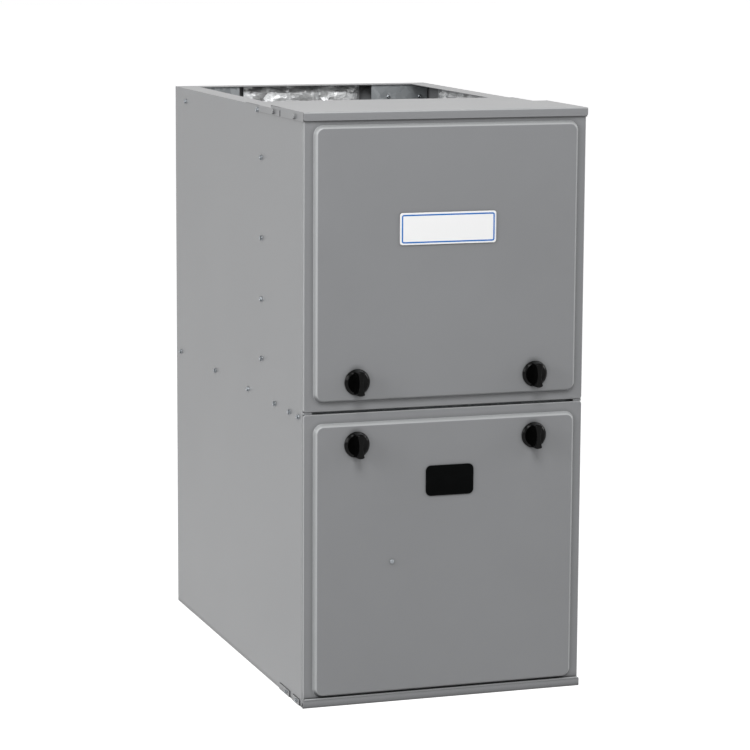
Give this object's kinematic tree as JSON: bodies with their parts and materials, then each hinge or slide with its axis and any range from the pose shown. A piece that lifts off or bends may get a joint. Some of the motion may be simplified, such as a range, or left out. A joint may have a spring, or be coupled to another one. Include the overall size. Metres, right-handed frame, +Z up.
{
  "type": "forced air gas furnace",
  "caption": "Upright condensing forced-air gas furnace in a grey steel cabinet with two pressed doors, quarter-turn knobs, a sight window and an open supply flange on top",
  "frame": {"origin": "middle of the bottom face of the bounding box, on the floor", "axes": "+Z up, +Y towards the rear wall, +X to the right of someone facing the doors"},
  "size_m": [0.4512, 0.756, 0.889],
  "materials": {
    "grey_paint": "satin grey baked enamel on sheet steel",
    "black_plastic": "polished black plastic",
    "dark_window": "smoked black window",
    "badge_white": "smooth white plastic",
    "galvanised": "galvanised sheet steel",
    "exchanger_steel": "aluminised steel, drawn smooth",
    "fin_aluminium": "plain aluminium fin stock",
    "foil": "crinkled foil facing on a glass-fibre blanket",
    "black_iron": "black enamel",
    "cast_aluminium": "die-cast aluminium",
    "white_ceramic": "unglazed white ceramic",
    "dark_plastic": "moulded black plastic",
    "red_plastic": "red moulded plastic",
    "black_rubber": "black rubber",
    "shaft_steel": "ground steel",
    "board_green": "green solder resist"
  },
  "bodies": {
    "cabinet": {"casing": "grey_paint", "bottom_sill": "grey_paint", "top_front_cap": "grey_paint", "top_deck": "grey_paint", "bottom_panel": "galvanised", "blower_shelf": "galvanised", "vestibule_panel": "galvanised", "heat_exchanger_cell_1": "exchanger_steel", "heat_exchanger_cell_2": "exchanger_steel", "heat_exchanger_cell_3": "exchanger_steel", "heat_exchanger_cell_4": "exchanger_steel", "rear_coupling_box": "exchanger_steel", "secondary_heat_exchanger": "fin_aluminium", "insulation_rear": "foil", "insulation_left": "foil", "insulation_right": "foil", "rear_baffle_left": "galvanised", "rear_baffle_right": "galvanised", "burner_1": "galvanised", "burner_2": "galvanised", "burner_3": "galvanised", "burner_4": "galvanised", "burner_carrier": "galvanised", "gas_manifold": "black_iron", "gas_valve": "cast_aluminium", "ignitor": "white_ceramic", "flame_sensor": "white_ceramic", "rollout_switch": "dark_plastic", "limit_switch": "dark_plastic", "collector_box": "dark_plastic", "inducer_housing": "dark_plastic", "inducer_motor": "black_iron", "vent_coupling": "black_rubber", "pressure_switch": "dark_plastic", "pressure_tube": "black_rubber", "condensate_trap": "dark_plastic", "drain_tube": "black_rubber", "blower_housing": "galvanised", "blower_motor": "black_iron", "motor_mount": "galvanised", "control_tray": "galvanised", "control_board": "board_green", "transformer": "shaft_steel", "door_switch": "dark_plastic"},
    "upper_door": {"upper_door": "grey_paint", "badge_plate": "badge_white"},
    "lower_door": {"lower_door": "grey_paint", "sight_glass": "dark_window"},
    "knob_upper_left": {"knob_upper_left": "black_plastic"},
    "knob_upper_right": {"knob_upper_right": "black_plastic"},
    "knob_lower_left": {"knob_lower_left": "black_plastic"},
    "knob_lower_right": {"knob_lower_right": "black_plastic"},
    "blower_rotor": {"blower_wheel": "galvanised", "blower_shaft": "shaft_steel"},
    "inducer_rotor": {"inducer_wheel": "dark_plastic"},
    "gas_valve_switch": {"gas_valve_switch": "black_plastic"},
    "rollout_reset_button": {"rollout_reset_button": "red_plastic"},
    "door_switch_plunger": {"door_switch_plunger": "badge_white"}
  },
  "joints": [
    {"name": "upper_door_tilt", "type": "hinge", "parent": "cabinet", "child": "upper_door", "pos_m": [0, -0.3485, 0.8735], "axis": [-1, 0, 0], "range_deg": [0, 20]},
    {"name": "lower_door_tilt", "type": "hinge", "parent": "cabinet", "child": "lower_door", "pos_m": [0, -0.3485, 0.0145], "axis": [1, 0, 0], "range_deg": [0, 20]},
    {"name": "knob_upper_left_turn", "type": "hinge", "parent": "upper_door", "child": "knob_upper_left", "pos_m": [-0.1405, -0.3555, 0.491], "axis": [0, 1, 0], "range_deg": [0, 90]},
    {"name": "knob_upper_right_turn", "type": "hinge", "parent": "upper_door", "child": "knob_upper_right", "pos_m": [0.1405, -0.3555, 0.491], "axis": [0, 1, 0], "range_deg": [0, 90]},
    {"name": "knob_lower_left_turn", "type": "hinge", "parent": "lower_door", "child": "knob_lower_left", "pos_m": [-0.1405, -0.3555, 0.3975], "axis": [0, 1, 0], "range_deg": [0, 90]},
    {"name": "knob_lower_right_turn", "type": "hinge", "parent": "lower_door", "child": "knob_lower_right", "pos_m": [0.1405, -0.3555, 0.3975], "axis": [0, 1, 0], "range_deg": [0, 90]},
    {"name": "gas_valve_switch_turn", "type": "hinge", "parent": "cabinet", "child": "gas_valve_switch", "pos_m": [0.137, -0.3, 0.7237], "axis": [0, 1, 0], "range_deg": [0, 90]},
    {"name": "rollout_reset_press", "type": "slide", "parent": "cabinet", "child": "rollout_reset_button", "axis": [0, 1, 0], "range_m": [0, 0.002], "stiffness_N_per_m": 200},
    {"name": "door_switch_press", "type": "slide", "parent": "cabinet", "child": "door_switch_plunger", "axis": [0, -1, 0], "range_m": [0, 0.006]},
    {"name": "blower_spin", "type": "hinge", "parent": "cabinet", "child": "blower_rotor", "pos_m": [0, 0.088, 0.224], "axis": [1, 0, 0], "continuous": true},
    {"name": "inducer_spin", "type": "hinge", "parent": "cabinet", "child": "inducer_rotor", "pos_m": [-0.018, -0.17, 0.524], "axis": [0, 1, 0], "continuous": true}
  ],
  "couplings": [
    {"joint": "door_switch_press", "follows": "lower_door_tilt", "m_per_rad": 0.01718}
  ]
}
